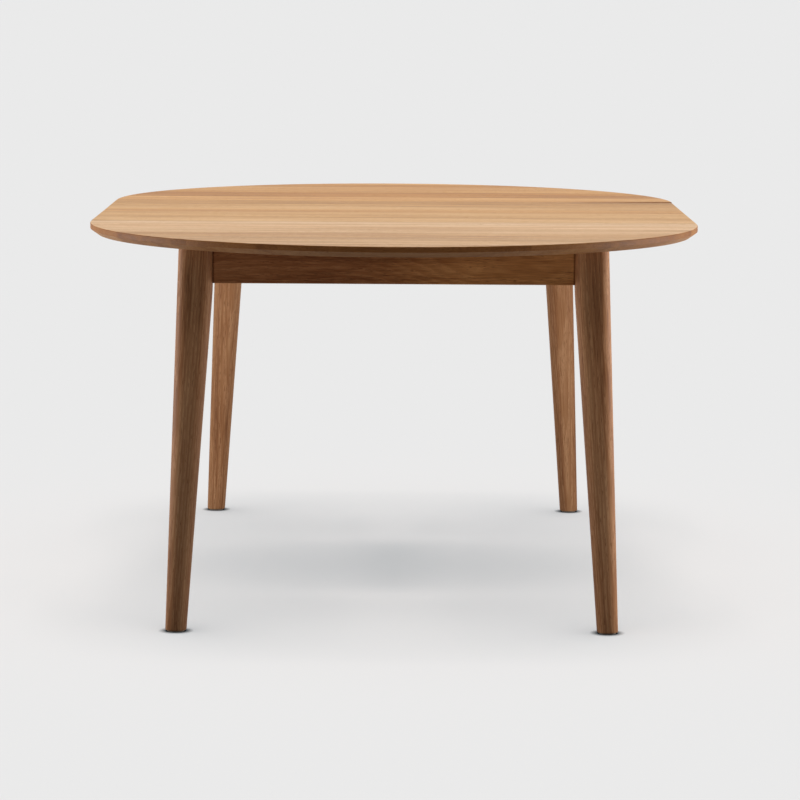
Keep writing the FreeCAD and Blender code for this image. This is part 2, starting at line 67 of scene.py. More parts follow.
def closed_rings(name, rings):
    """Closed mesh through rings of points, an array of ring by place by XYZ. Four-sided faces join
    each ring to the next, and a fan of triangles to its middle closes the first and the last ring."""
    count, around = rings.shape[:2]
    points = np.concatenate([rings.reshape(-1, 3), rings[[0, -1]].mean(axis=1)])
    place = np.arange(around)
    beside = (place + 1) % around
    step = np.arange(count - 1)[:, None] * around
    quads = np.stack(
        [step + place, step + beside, step + beside + around, step + place + around], axis=-1
    )
    last = (count - 1) * around
    first_middle = np.full(around, count * around)
    low_fan = np.stack([beside, place, first_middle], axis=-1)
    high_fan = np.stack([last + place, last + beside, first_middle + 1], axis=-1)
    faces = quads.reshape(-1, 4).tolist() + low_fan.tolist() + high_fan.tolist()
    mesh = bpy.data.meshes.new(name)
    mesh.from_pydata(points.tolist(), [], faces)
    return mesh


def fitted_piece(mesh, body, node, material, crease_degrees):
    """Object for a finished mesh, smooth but for edges sharper than the crease, in place of its solid."""
    mesh.shade_smooth()
    mesh.set_sharp_from_angle(angle=math.radians(crease_degrees))
    mesh.materials.append(material)
    piece = bpy.data.objects.new(mesh.name, mesh)
    bpy.context.scene.collection.objects.link(piece)
    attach(piece, body)
    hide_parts(node)


def rounded_square():
    """Points round a square with round corners: for each, the middle of its corner, in halves of the
    straight side, and the direction in which it lies from there. A corner is a quarter circle, and
    on the flat after it the middle moves on to the next corner while the direction stays."""
    corner = np.array([(1, 1), (-1, 1), (-1, -1), (1, -1)])
    to_next = np.roll(corner, -1, axis=0) - corner
    moved = np.concatenate([np.zeros(corner_steps + 1), flat_shares])
    turned = np.concatenate([np.linspace(0, 1, corner_steps + 1), np.ones(len(flat_shares))])
    middle = corner[:, None] + to_next[:, None] * moved[:, None]
    angle = (np.arange(4)[:, None] + turned) * math.pi / 2
    direction = np.stack([np.cos(angle), np.sin(angle)], axis=-1)
    return middle.reshape(-1, 2), direction.reshape(-1, 2)


def leg_rings(side, end):
    """Rounded squares carried up the leg. At each height the four corner arcs are placed round the
    middle of the section, whose faces stand upright above the knee and lean outwards below it."""
    low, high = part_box("leg_front_right")
    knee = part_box("front_apron")[0].z - knee_drop
    taper_share = (leg_width - foot_width) / 2 / knee
    turn = np.linspace(0, math.pi / 2, foot_round_steps)
    foot = low.z + foot_round * (1 - np.cos(turn))
    shaft = np.linspace(low.z + shaft_margin, knee - shaft_margin, shaft_steps)
    knee_curve = np.linspace(knee - 2 * knee_blend, knee + 2 * knee_blend, knee_steps)
    head = np.linspace(knee + head_margin, high.z, head_steps)
    height = np.concatenate([foot, shaft, knee_curve, head])
    shrink = np.zeros(len(height))
    shrink[:foot_round_steps] = foot_round * (1 - np.sin(turn))
    drop = knee - height
    soft_drop = (drop + np.sqrt(drop**2 + knee_blend**2)) / 2
    outside = drop * (lean_share - taper_share)
    inside = soft_drop * (lean_share + taper_share)
    width = leg_width + outside - inside
    middle_x = low.x + inside + width / 2
    middle_y = -high.y + inside + width / 2
    down_share = np.clip(drop / knee, 0, 1)
    corner = width * (leg_corner_share + (foot_corner_share - leg_corner_share) * down_share)
    straight = (width / 2 - corner)[:, None]
    round_off = (corner - shrink)[:, None]
    middle, direction = rounded_square()
    x = middle_x[:, None] + straight * middle[:, 0] + round_off * direction[:, 0]
    y = middle_y[:, None] + straight * middle[:, 1] + round_off * direction[:, 1]
    z = np.broadcast_to(height[:, None], x.shape)
    rings = np.stack([side * x, end * y, z], axis=-1)
    return rings if side * end > 0 else rings[:, ::-1]


def add_node(tree, kind, inputs=(), **options):
    """Shader node with its options set, and its inputs, by place or by name, filled or linked."""
    node = tree.nodes.new("ShaderNode" + kind)
    for option, value in options.items():
        setattr(node, option, value)
    pairs = inputs.items() if isinstance(inputs, dict) else enumerate(inputs)
    for key, value in pairs:
        if isinstance(value, bpy.types.NodeSocket):
            tree.links.new(value, node.inputs[key])
        else:
            node.inputs[key].default_value = value
    return node


def calc(tree, operation, *values):
    """Result of one sum on numbers or sockets."""
    return add_node(tree, "Math", values, operation=operation).outputs[0]


def vector_calc(tree, operation, *values):
    """Result of one sum on vectors or sockets, for X, Y and Z alike."""
    return add_node(tree, "VectorMath", values, operation=operation).outputs[0]


def stretched_noise(tree, position, scales, detail, roughness=0.5):
    """Cloudy pattern with its own number of features to the metre along, across and through."""
    scaled = vector_calc(tree, "MULTIPLY", position, scales)
    sockets = {"Vector": scaled, "Scale": 1.0, "Detail": detail, "Roughness": roughness}
    return add_node(tree, "TexNoise", sockets).outputs


def smooth_between(tree, value, low, high):
    """Mask that rises smoothly from 0 at the low value to 1 at the high value."""
    sockets = {"Value": value, "From Min": low, "From Max": high}
    return add_node(tree, "MapRange", sockets, interpolation_type="SMOOTHSTEP").outputs[0]


def new_group(name, inputs):
    """Empty node group with named inputs, and their sockets inside it."""
    tree = bpy.data.node_groups.new(name, "ShaderNodeTree")
    for socket, kind in inputs.items():
        tree.interface.new_socket(socket, in_out="INPUT", socket_type="NodeSocket" + kind)
    return tree, tree.nodes.new("NodeGroupInput").outputs


def put_out(tree, values):
    """Node group with one number put out under each name."""
    for name in values:
        tree.interface.new_socket(name, in_out="OUTPUT", socket_type="NodeSocketFloat")
    result = tree.nodes.new("NodeGroupOutput")
    for name, socket in values.items():
        tree.links.new(socket, result.inputs[name])
    return tree


ring_bend_scale = (1.2, 5.0, 5.0)
ring_wobble_scale = (8.0, 70.0, 70.0)
ring_wobble = 0.9
late_wood_start = (0.15, 0.75)
late_wood_end = (1.0, 0.88)
streak_scale = (1.7, 34.0, 34.0)
streak_span = (0.30, 0.70)
fibre_scale = (16.0, 520.0, 520.0)
fibre_share = 0.35
fibre_relief = 0.3
pore_scale = (60.0, 1300.0, 1300.0)
pore_cut = (0.56, 0.66)


def make_wood_figure():
    """Figure of sawn wood, from a position whose X runs along the grain. Growth rings are circles
    round the heart of the log, bent by a slow noise. Long noise makes streaks, fine long noise fibres,
    and the finest, cut off at a level and kept to the early wood, the open pores."""
    sockets = {"Position": "Vector", "Heart": "Vector", "Ring Width": "Float", "Bend": "Float"}
    tree, given = new_group("wood_figure", sockets)
    position = given["Position"]
    slow = stretched_noise(tree, position, ring_bend_scale, detail=2.0)["Color"]
    centred = vector_calc(tree, "SUBTRACT", slow, (0.5, 0.5, 0.5))
    sideways = add_node(tree, "CombineXYZ", {"Y": given["Bend"], "Z": given["Bend"]}).outputs[0]
    bent = vector_calc(tree, "MULTIPLY_ADD", centred, sideways, position)
    from_heart = vector_calc(tree, "SUBTRACT", bent, given["Heart"])
    across = vector_calc(tree, "MULTIPLY", from_heart, (0.0, 1.0, 1.0))
    radius = add_node(tree, "VectorMath", (across,), operation="LENGTH").outputs["Value"]
    wobble = stretched_noise(tree, position, ring_wobble_scale, detail=2.0)["Fac"]
    year = calc(tree, "DIVIDE", radius, given["Ring Width"])
    year = calc(tree, "MULTIPLY_ADD", wobble, ring_wobble, year)
    phase = calc(tree, "FRACT", year)
    rise = smooth_between(tree, phase, *late_wood_start)
    fall = smooth_between(tree, phase, *late_wood_end)
    growth = calc(tree, "MULTIPLY", rise, fall)
    streak = stretched_noise(tree, position, streak_scale, detail=5.0, roughness=0.6)["Fac"]
    fibre = stretched_noise(tree, position, fibre_scale, detail=2.0)["Fac"]
    speck = stretched_noise(tree, position, pore_scale, detail=1.0)["Fac"]
    early = calc(tree, "SUBTRACT", 1.0, growth)
    pore = calc(tree, "MULTIPLY", smooth_between(tree, speck, *pore_cut), early)
    broad = calc(tree, "MULTIPLY", streak, 1 - fibre_share)
    mixed = calc(tree, "MULTIPLY_ADD", fibre, fibre_share, broad)
    relief = calc(tree, "SUBTRACT", calc(tree, "MULTIPLY", fibre, fibre_relief), pore)
    values = {
        "Streak": smooth_between(tree, mixed, *streak_span),
        "Growth": growth,
        "Pore": pore,
        "Relief": relief,
    }
    return put_out(tree, values)


wood_figure = make_wood_figure()


def start_material(name):
    """New material, its tree, its shader and the object's own coordinates."""
    material = bpy.data.materials.new(name)
    material.use_nodes = True
    tree = material.node_tree
    return material, tree, tree.nodes["Principled BSDF"], add_node(tree, "TexCoord").outputs["Object"]


def grain_along(tree, position, axis):
    """Position turned so that its X runs along the given axis of the piece."""
    order = {"X": "XYZ", "Y": "YXZ", "Z": "ZXY"}[axis]
    parts = add_node(tree, "SeparateXYZ", (position,)).outputs
    return add_node(tree, "CombineXYZ", [parts[letter] for letter in order]).outputs[0]


def colour_steps(tree, value, places, colours):
    """Colour that runs through the given colours, each at its place, as a value goes from 0 to 1."""
    node = add_node(tree, "ValToRGB", (value,))
    steps = node.color_ramp.elements
    for end in (0, -1):
        steps[end].position = places[end]
        steps[end].color = colours[end]
    for place, colour in zip(places[1:-1], colours[1:-1]):
        steps.new(place).color = colour
    return node.outputs["Color"]


def shaded(tree, colour, mask, shade):
    """Colour multiplied by a shade where the mask is 1."""
    # A Mix node for colours has its factor at place 0 and its two colours at places 6 and 7.
    sockets = {0: mask, 6: colour, 7: shade}
    return add_node(tree, "Mix", sockets, data_type="RGBA", blend_type="MULTIPLY").outputs[2]


def add_bump(tree, shader, height, strength, distance):
    """Fine relief on the shader's normal, from a height that changes over the surface."""
    sockets = {"Strength": strength, "Distance": distance, "Height": height}
    tree.links.new(add_node(tree, "Bump", sockets).outputs["Normal"], shader.inputs["Normal"])


pore_roughness = 0.2
streak_roughness = 0.1
relief_depth = 0.0005


def oil_finish(tree, shader, colour, figure, roughness, specular, relief):
    """Oiled wood: its colour, a gloss that pores and streaks make duller, and the fibres' relief."""
    tree.links.new(colour, shader.inputs["Base Color"])
    dull = calc(tree, "MULTIPLY_ADD", figure["Pore"], pore_roughness, roughness)
    dull = calc(tree, "MULTIPLY_ADD", figure["Streak"], streak_roughness, dull)
    tree.links.new(dull, shader.inputs["Roughness"])
    shader.inputs["Specular IOR Level"].default_value = specular
    add_bump(tree, shader, figure["Relief"], relief, relief_depth)


wood_tone_places = (0.08, 0.5, 0.95)
late_wood_shade = (0.80, 0.74, 0.68, 1)
pore_shade = (0.55, 0.47, 0.40, 1)
wood_roughness = 0.48
wood_specular = 0.09
wood_relief = 0.35


def wood_material(
    name,
    axis,
    heart,
    ring_width,
    colours,
    bend=0.05,
    tilt=(0, 0, 0),
    wander=(0, 0, 0),
    wander_span=(-1, 1),
    far_tone_and_painted_light=(1, 1, 1, 1),
):
    """Oiled wood: streaks choose between three tones, late wood and pores darken them and roughen.
    The log lies tilted in the piece, and between two places along it its heart wanders sideways and
    the colour goes over to a far shade, which is a wood tone on the rails and painted light on the legs."""
    material, tree, shader, position = start_material(name)
    turned = add_node(tree, "Mapping", {"Vector": position, "Rotation": tilt}).outputs[0]
    grain = grain_along(tree, turned, axis)
    run = smooth_between(tree, add_node(tree, "SeparateXYZ", (grain,)).outputs["X"], *wander_span)
    heart_line = vector_calc(tree, "MULTIPLY_ADD", run, wander, heart)
    sockets = {"Position": grain, "Heart": heart_line, "Ring Width": ring_width, "Bend": bend}
    figure = add_node(tree, "Group", sockets, node_tree=wood_figure).outputs
    colour = colour_steps(tree, figure["Streak"], wood_tone_places, colours)
    # On the legs this far shade is painted light on their upper part.
    colour = shaded(tree, colour, run, far_tone_and_painted_light)
    colour = shaded(tree, colour, figure["Growth"], late_wood_shade)
    colour = shaded(tree, colour, figure["Pore"], pore_shade)
    oil_finish(tree, shader, colour, figure, wood_roughness, wood_specular, wood_relief)
    return material


# Each blank has the heart of its log, given along the leg and by X and Y, a tone, and the tone of
# its upper part. The tone paints light and shade: darker on the front legs, lighter on the back. The
# upper tone is painted light that lightens the upper part of the front legs, under the top's shade.
leg_blanks = {
    "front_left": ((0.0, -0.30, -0.62), 0.79, 1.35),
    "front_right": ((0.0, 0.33, -0.63), 1.06, 1.22),
    "back_left": ((0.0, -0.36, 0.58), 1.15, 1.0),
    "back_right": ((0.0, 0.40, 0.61), 1.05, 1.0),
}
leg_colours = np.array([(0.250, 0.108, 0.046, 1), (0.420, 0.205, 0.098, 1), (0.540, 0.295, 0.152, 1)])
leg_ring_width = 0.0042
leg_bend = 0.012
upper_part = (0.15, 0.50)
for end_name, end in (("front", -1), ("back", 1)):
    for side_name, side in (("left", -1), ("right", 1)):
        corner_name = f"{end_name}_{side_name}"
        heart, tone, upper_painted_light = leg_blanks[corner_name]
        oak = wood_material(
            f"oak_leg_{corner_name}",
            "Z",
            heart,
            leg_ring_width,
            # the tone paints this leg's light and shade into its colour
            leg_colours * (tone, tone, tone, 1),
            bend=leg_bend,
            tilt=(-end * lean_share, side * lean_share, 0),
            wander_span=upper_part,
            # the upper tone paints light on the upper part of the leg
            far_tone_and_painted_light=(upper_painted_light, upper_painted_light, upper_painted_light, 1),
        )
        leg_mesh = closed_rings(f"{corner_name}_leg", leg_rings(side, end))
        fitted_piece(leg_mesh, f"{end_name}_half", f"leg_{corner_name}", oak, leg_crease)


# Foot glides. Nylon discs, each with a pin that is pushed into the end grain of a foot.
# They are brown satin mouldings with a fine orange-peel skin.
nylon_dark = (0.20, 0.15, 0.11, 1)
nylon_light = (0.30, 0.24, 0.18, 1)
nylon_cloud_scale = (90.0, 90.0, 90.0)
nylon_skin_scale = (900.0, 900.0, 900.0)
nylon_roughness = 0.4
nylon_relief = 0.2
cloud_roughness = 0.2
cloud_places = (0.3, 0.7)
skin_depth = 0.0002


def finish_nodes(material, names):
    """Gives the solids of these names a material."""
    for name in names:
        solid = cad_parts[name]
        solid.data.materials.clear()
        solid.data.materials.append(material)


def corners(pattern):
    """The names of the four pieces of a kind, one at each end and side."""
    return [pattern.format(end, side) for end in ("front", "back") for side in ("left", "right")]


glide_nylon, nylon_tree, nylon_shader, nylon_position = start_material("glide_nylon")
nylon_cloud = stretched_noise(nylon_tree, nylon_position, nylon_cloud_scale, detail=3.0)["Fac"]
nylon_skin = stretched_noise(nylon_tree, nylon_position, nylon_skin_scale, detail=1.0)["Fac"]
nylon_colour = colour_steps(nylon_tree, nylon_cloud, cloud_places, (nylon_dark, nylon_light))
nylon_tree.links.new(nylon_colour, nylon_shader.inputs["Base Color"])
nylon_dull = calc(nylon_tree, "MULTIPLY_ADD", nylon_cloud, cloud_roughness, nylon_roughness)
nylon_tree.links.new(nylon_dull, nylon_shader.inputs["Roughness"])
add_bump(nylon_tree, nylon_shader, nylon_skin, nylon_relief, skin_depth)
finish_nodes(glide_nylon, corners("foot_glide_{}_{}"))


# Aprons. Oak rails tenoned into the legs, one across each end and one along each side of a half.
# The end rails run across the table and the side rails stop at the seam. Painted shade darkens the
# end rails where they meet the legs.
rail_colours = ((0.265, 0.100, 0.037, 1), (0.437, 0.186, 0.076, 1), (0.558, 0.264, 0.121, 1))
# Painted shade in the corner where an end rail meets a leg.
joint_painted_shade = (0.40, 0.34, 0.28, 1)
joint_shade_start = 0.0045
joint_shade_full = 0.0010
end_rail_heart_y = 0.64
end_rail_heart_z = 0.735
end_rail_wander_y = 0.030
end_rail_wander_z = -0.045
end_rail_wander_span = (-0.15, 0.15)
end_rail_ring_width = 0.0080
end_rail_bend = 0.070
end_rail_slope = 0.045
end_rail_right_shade = (1.58, 1.75, 1.56, 1)
side_rail_heart_x = 0.42
side_rail_heart_z = 0.60
side_rail_ring_width = 0.0045
side_rail_bend = 0.035


def make_joint_mask():
    """Mask of an end rail's last millimetres before the faces of its legs, by its distance along X
    from the middle of the table."""
    tree, given = new_group("joint_mask", {"Position": "Vector"})
    x = add_node(tree, "SeparateXYZ", (given["Position"],)).outputs["X"]
    leg_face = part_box("leg_front_right")[0].x
    start = leg_face - joint_shade_start
    full = leg_face - joint_shade_full
    return put_out(tree, {"Joint": smooth_between(tree, calc(tree, "ABSOLUTE", x), start, full)})


joint_mask = make_joint_mask()


def oil_joints(material):
    """Darkens a rail's colour with painted shade at its joints with the legs."""
    tree = material.node_tree
    base = tree.nodes["Principled BSDF"].inputs["Base Color"]
    position = add_node(tree, "TexCoord").outputs["Object"]
    joint = add_node(tree, "Group", {"Position": position}, node_tree=joint_mask).outputs["Joint"]
    tree.links.new(shaded(tree, base.links[0].from_socket, joint, joint_painted_shade), base)


for end_name, end in (("front", -1), ("back", 1)):
    end_rail_oak = wood_material(
        f"oak_{end_name}_rail",
        "X",
        (0.0, end * end_rail_heart_y, end_rail_heart_z),
        end_rail_ring_width,
        rail_colours,
        bend=end_rail_bend,
        tilt=(0, 0, end * end_rail_slope),
        wander=(0.0, end * end_rail_wander_y, end_rail_wander_z),
        wander_span=end_rail_wander_span,
        far_tone_and_painted_light=end_rail_right_shade,
    )
    oil_joints(end_rail_oak)
    finish_nodes(end_rail_oak, [f"{end_name}_apron"])
for side_name, side in (("left", -1), ("right", 1)):
    side_rail_oak = wood_material(
        f"oak_{side_name}_rail",
        "Y",
        (0.0, side * side_rail_heart_x, side_rail_heart_z),
        side_rail_ring_width,
        rail_colours,
        bend=side_rail_bend,
    )
    finish_nodes(side_rail_oak, [f"side_apron_front_{side_name}", f"side_apron_back_{side_name}"])


# Corner braces. Beech blocks glued across the corners inside the aprons, each drawn to its leg by a
# bolt and a flange nut of zinc-plated steel.
beech_colours = ((0.42, 0.25, 0.145, 1), (0.56, 0.37, 0.225, 1), (0.64, 0.44, 0.28, 1))
beech_heart = (0.0, -0.2, 0.55)
beech_ring_width = 0.0030
zinc_dark = (0.46, 0.48, 0.50, 1)
zinc_light = (0.66, 0.67, 0.68, 1)
zinc_roughness = 0.25
metal_cloud_scale = (60.0, 60.0, 60.0)
scratch_scale = (90.0, 2200.0, 700.0)
scratch_relief = 0.12


def make_metal_skin():
    """Skin of plated or milled metal: an even cloud, and noise drawn out along X for fine scratches."""
    tree, given = new_group("metal_skin", {"Position": "Vector"})
    cloud = stretched_noise(tree, given["Position"], metal_cloud_scale, detail=4.0)["Fac"]
    scratch = stretched_noise(tree, given["Position"], scratch_scale, detail=2.0)["Fac"]
    return put_out(tree, {"Cloud": cloud, "Scratch": scratch})


metal_skin = make_metal_skin()


def metal_material(name, dark, light, roughness):
    """Metal whose cloud chooses between two tones and dulls the gloss, with scratches in relief."""
    material, tree, shader, position = start_material(name)
    skin = add_node(tree, "Group", {"Position": position}, node_tree=metal_skin).outputs
    colour = colour_steps(tree, skin["Cloud"], cloud_places, (dark, light))
    tree.links.new(colour, shader.inputs["Base Color"])
    dull = calc(tree, "MULTIPLY_ADD", skin["Cloud"], cloud_roughness, roughness)
    tree.links.new(dull, shader.inputs["Roughness"])
    shader.inputs["Metallic"].default_value = 1.0
    add_bump(tree, shader, skin["Scratch"], scratch_relief, skin_depth)
    return material


beech_across = wood_material("beech_across", "X", beech_heart, beech_ring_width, beech_colours)
finish_nodes(beech_across, corners("corner_brace_{}_{}"))
plated_zinc = metal_material("plated_zinc", zinc_dark, zinc_light, zinc_roughness)
finish_nodes(plated_zinc, ["leg_bolts_front", "leg_bolts_back", "leg_nuts_front", "leg_nuts_back"])


# Top halves. Half rounds glued up from oak staves that run across the table, bevelled below the rim.
# The back half has cupped a little, so its right corner stands proud of the leaf at the seam.
rim_band = 0.0105
rim_bevel_run = 0.014
rim_round = 0.0015
rim_round_steps = 9
under_margin = 0.004
upper_margin = 0.003
seam_ease = 0.0002
cup_rise = 0.00125
cup_reach = 0.42
cup_start = 0.37
arc_steps = 240
seam_steps = 60
face_shares = (0.985, 0.955, 0.91, 0.85, 0.77, 0.66, 0.52, 0.35, 0.17)
board_crease = 20
top_low, top_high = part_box("front_top")
top_radius = top_high.x
seam_y = -top_high.y


def rim_rings():
    """Profile of the rim from the underside to the upper face, as an inset from the rim and a height:
    the bevel, the upright band, and a quarter round up to the upper face."""
    turn = np.linspace(0, math.pi / 2, rim_round_steps)
    under = np.array([[rim_bevel_run + under_margin, top_low.z], [rim_bevel_run, top_low.z]])
    bevel = np.array([[0.0, top_high.z - rim_band]])
    round_inset = rim_round * (1 - np.cos(turn))
    round_height = top_high.z - rim_round * (1 - np.sin(turn))
    upper = np.array([[rim_round + upper_margin, top_high.z]])
    profile = np.concatenate([under, bevel, np.stack([round_inset, round_height], axis=1), upper])
    return profile[:, 0], profile[:, 1]


def half_outline(rim_inset, seam_inset):
    """Plan of the front half at each inset: a half circle from the left end of the seam to the right
    end, and the straight seam back again."""
    radius = (top_radius - rim_inset)[:, None]
    start = np.arcsin(seam_inset[:, None] / radius)
    angle = start + np.linspace(0, 1, arc_steps + 1) * (math.pi - 2 * start)
    back = np.linspace(1, -1, seam_steps + 1)[1:-1]
    x = np.concatenate([-radius * np.cos(angle), radius * np.cos(start) * back], axis=1)
    seam_line = np.broadcast_to(-seam_y - seam_inset[:, None], (len(radius), len(back)))
    y = np.concatenate([-seam_y - radius * np.sin(angle), seam_line], axis=1)
    return x, y


def half_seam_inset(height):
    """Inset from the seam at each height: none, but for the eased upper edge."""
    return np.maximum(height - (top_high.z - seam_ease), 0)


def filled_face(ring, shares):
    """Rings that shrink from an outline towards its middle, by the given shares."""
    middle = ring.mean(axis=0)
    return middle + (ring - middle) * np.array(shares)[:, None, None]


def board_rings(outline, seam_inset_at):
    """Rings of a board: the underside from its middle outwards, the rim, and the upper face inwards.
    The underside has every second ring of the upper face."""
    inset, height = rim_rings()
    x, y = outline(inset, seam_inset_at(height))
    edge = np.stack([x, y, np.broadcast_to(height[:, None], x.shape)], axis=-1)
    under = filled_face(edge[0], face_shares[::-2])
    upper = filled_face(edge[-1], face_shares)
    return np.concatenate([under, edge, upper])


top_colours = np.array([(0.285, 0.135, 0.052, 1), (0.520, 0.295, 0.135, 1), (0.710, 0.475, 0.275, 1)])
top_tone_places = (0.12, 0.51, 0.9)
top_shades = {
    "Warm": (1.0, 0.93, 0.84, 1),
    "Growth": (0.90, 0.86, 0.80, 1),
    "Pore": (0.62, 0.55, 0.47, 1),
    "Joint": (0.80, 0.72, 0.64, 1),
    # The rim's shade is mostly painted shade on faces that turn from level, partly oil in cut edges.
    "Rim": (0.43, 0.272, 0.136, 1),
}
front_stave_shift = (0.0, 40.300, 0.0)
# Board tints paint light falling off from front to back: the front half paler with a painted sheen, the
# back half darker with painted shade.
front_sheen_tint = (1.145, 1.28, 1.54)
back_stave_shift = (0.7, 32.968, 0.0)
back_shade_tint = (1.04, 0.965, 0.82)
staves_per_metre = 11.5
stave_unevenness = 0.75
stave_log_shift = (3.1, 0.0, 0.0)
stave_heart_nearest = (0.0, -0.12, 0.60)
stave_heart_spread = (0.0, 0.24, 0.10)
stave_ring_width = 0.0042
stave_bend = 0.05
stave_tone_share = 0.36
streak_tone_share = 0.46
length_tone_share = 0.2
length_tone_scale = (1.5, 9.0, 9.0)
warm_span = (0.45, 1.0)
joint_span = (0.006, 0.0)
rim_shade_span = (0.97, 0.75)
top_roughness = 0.46
top_specular = 0.11
top_relief = 0.3


def make_stave_figure():
    """Figure of a board glued up along Y from staves that run along X. Cells of uneven width give each
    stave its own tone, its own part of a log and its own distance from the heart, and their edges
    are the joints. The rim is where the surface turns away from level, and its mask paints shade there."""
    tree, given = new_group("stave_figure", {"Position": "Vector", "Normal": "Vector"})
    position = given["Position"]
    y = add_node(tree, "SeparateXYZ", (position,)).outputs["Y"]
    cells = {"W": y, "Scale": staves_per_metre, "Randomness": stave_unevenness}
    stave = add_node(tree, "TexVoronoi", cells, voronoi_dimensions="1D", feature="F1").outputs["Color"]
    edges = add_node(tree, "TexVoronoi", cells, voronoi_dimensions="1D", feature="DISTANCE_TO_EDGE")
    own = vector_calc(tree, "MULTIPLY_ADD", stave, stave_log_shift, position)
    beside = vector_calc(tree, "MULTIPLY_ADD", stave, stave_heart_spread, stave_heart_nearest)
    heart = vector_calc(tree, "ADD", add_node(tree, "CombineXYZ", {"Y": y}).outputs[0], beside)
    sockets = {"Position": own, "Heart": heart, "Ring Width": stave_ring_width, "Bend": stave_bend}
    figure = add_node(tree, "Group", sockets, node_tree=wood_figure).outputs
    draw = add_node(tree, "SeparateColor", (stave,)).outputs
    length_tone = stretched_noise(tree, own, length_tone_scale, detail=1.0)["Fac"]
    tone = calc(tree, "MULTIPLY", figure["Streak"], streak_tone_share)
    tone = calc(tree, "MULTIPLY_ADD", draw["Red"], stave_tone_share, tone)
    tone = calc(tree, "MULTIPLY_ADD", length_tone, length_tone_share, tone)
    level = calc(tree, "ABSOLUTE", add_node(tree, "SeparateXYZ", (given["Normal"],)).outputs["Z"])
    values = {
        "Tone": tone,
        "Streak": figure["Streak"],
        "Warm": smooth_between(tree, draw["Green"], *warm_span),
        "Growth": figure["Growth"],
        "Pore": figure["Pore"],
        "Joint": smooth_between(tree, edges.outputs["Distance"], *joint_span),
        # Mask for painted shade where the surface turns away from level.
        "Rim": smooth_between(tree, level, *rim_shade_span),
        "Relief": figure["Relief"],
    }
    return put_out(tree, values)


stave_figure = make_stave_figure()


def top_material(name, shift, tint):
    """Oak staves in three tones, tinted for the board, a tint that also paints light: paler with a
    painted sheen at the front, darker with painted shade at the back. A shift chooses its staves, and
    warm staves, late wood, pores, joints and the rim, which is darker with painted shade as well as with
    oil soaked into its cut edges, each shade the colour."""
    material, tree, shader, position = start_material(name)
    moved = vector_calc(tree, "ADD", position, shift)
    normal = add_node(tree, "NewGeometry").outputs["Normal"]
    sockets = {"Position": moved, "Normal": normal}
    figure = add_node(tree, "Group", sockets, node_tree=stave_figure).outputs
    colour = colour_steps(tree, figure["Tone"], top_tone_places, top_colours * (*tint, 1))
    for effect, shade in top_shades.items():
        colour = shaded(tree, colour, figure[effect], shade)
    oil_finish(tree, shader, colour, figure, top_roughness, top_specular, top_relief)
    return material


front_rings = board_rings(half_outline, half_seam_inset)
front_oak = top_material("oak_front_half", front_stave_shift, front_sheen_tint)
front_mesh = closed_rings("front_half_board", front_rings)
fitted_piece(front_mesh, "front_half", "front_top", front_oak, board_crease)

back_rings = front_rings[:, ::-1] * (1, -1, 1)
from_middle = np.clip((back_rings[..., 0] - cup_start) / (top_radius - cup_start), 0, 1)
from_seam = np.clip(1 - (back_rings[..., 1] - seam_y) / cup_reach, 0, 1)
back_rings[..., 2] += cup_rise * from_middle * from_seam**2
back_oak = top_material("oak_back_half", back_stave_shift, back_shade_tint)
back_mesh = closed_rings("back_half_board", back_rings)
fitted_piece(back_mesh, "back_half", "back_top", back_oak, board_crease)


# Buttons. Small beech buttons that hold the top down and let it move with the seasons.
# Each has a tongue in the apron's groove and is screwed to the underside of the top.
finish_nodes(beech_across, ["top_buttons_front", "top_buttons_back"])
finish_nodes(plated_zinc, ["button_screws_front", "button_screws_back"])


# Slides. Beech members that run along the table: an outer one under the front half, an inner one
# under the back half, and a centre one that is tied to its twin and slides in both.
beech_along = wood_material("beech_along", "Y", beech_heart, beech_ring_width, beech_colours)
finish_nodes(beech_along, corners("slide_{}_{}"))
finish_nodes(beech_along, ["slide_centre_left", "slide_centre_right"])
finish_nodes(beech_across, ["slide_tie"])
finish_nodes(plated_zinc, ["tie_screws", "slide_screws_front", "slide_screws_back"])


# Racks and pinions. Steel racks let into the sliding members and a pinion on an axle between them,
# which make both halves move alike. They are milled and lightly greased.
steel_dark = (0.30, 0.29, 0.28, 1)
steel_light = (0.46, 0.45, 0.43, 1)
steel_roughness = 0.30
gear_steel = metal_material("gear_steel", steel_dark, steel_light, steel_roughness)
finish_nodes(gear_steel, corners("rack_{}_{}"))
finish_nodes(gear_steel, ["pinion_left", "pinion_right", "pinion_axle_left", "pinion_axle_right"])


# Leaf. A loose board of the same oak staves that drops between the halves, with its long edges cut
# back below, and two beech battens screwed under it beside the slides. Its front left corner has
# lifted a little.
leaf_stave_shift = (1.9, 0.819, 0.0)
# The leaf's tint is the middle step of the painted light that fades from the front half to the back.
leaf_tint = (1.08, 1.10, 1.075)
leaf_backcut = 0.00675
leaf_twist = 0.0006
twist_fall_across = 12
twist_fall_along = 2
leaf_end_steps = 40
leaf_side_steps = 60
leaf_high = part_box("leaf_panel")[1]


def leaf_outline(rim_inset, seam_inset):
    """Plan of the leaf at each inset: a rectangle, walked from its front left corner."""
    half_x = (leaf_high.x - rim_inset)[:, None]
    half_y = (leaf_high.y - seam_inset)[:, None]
    side = np.linspace(-1, 1, leaf_side_steps + 1)[:-1]
    end = np.linspace(-1, 1, leaf_end_steps + 1)[:-1]
    flat_side = np.ones_like(side)
    flat_end = np.ones_like(end)
    x = np.concatenate([side, flat_end, -side, -flat_end])
    y = np.concatenate([-flat_side, end, flat_side, -end])
    return half_x * x, half_y * y


def leaf_seam_inset(height):
    """Inset from the leaf's long edges: the cut-back below, and the eased upper edge."""
    eased = top_high.z - seam_ease
    below = np.maximum(eased - height, 0) / (eased - top_low.z) * leaf_backcut
    return below + np.maximum(height - eased, 0)


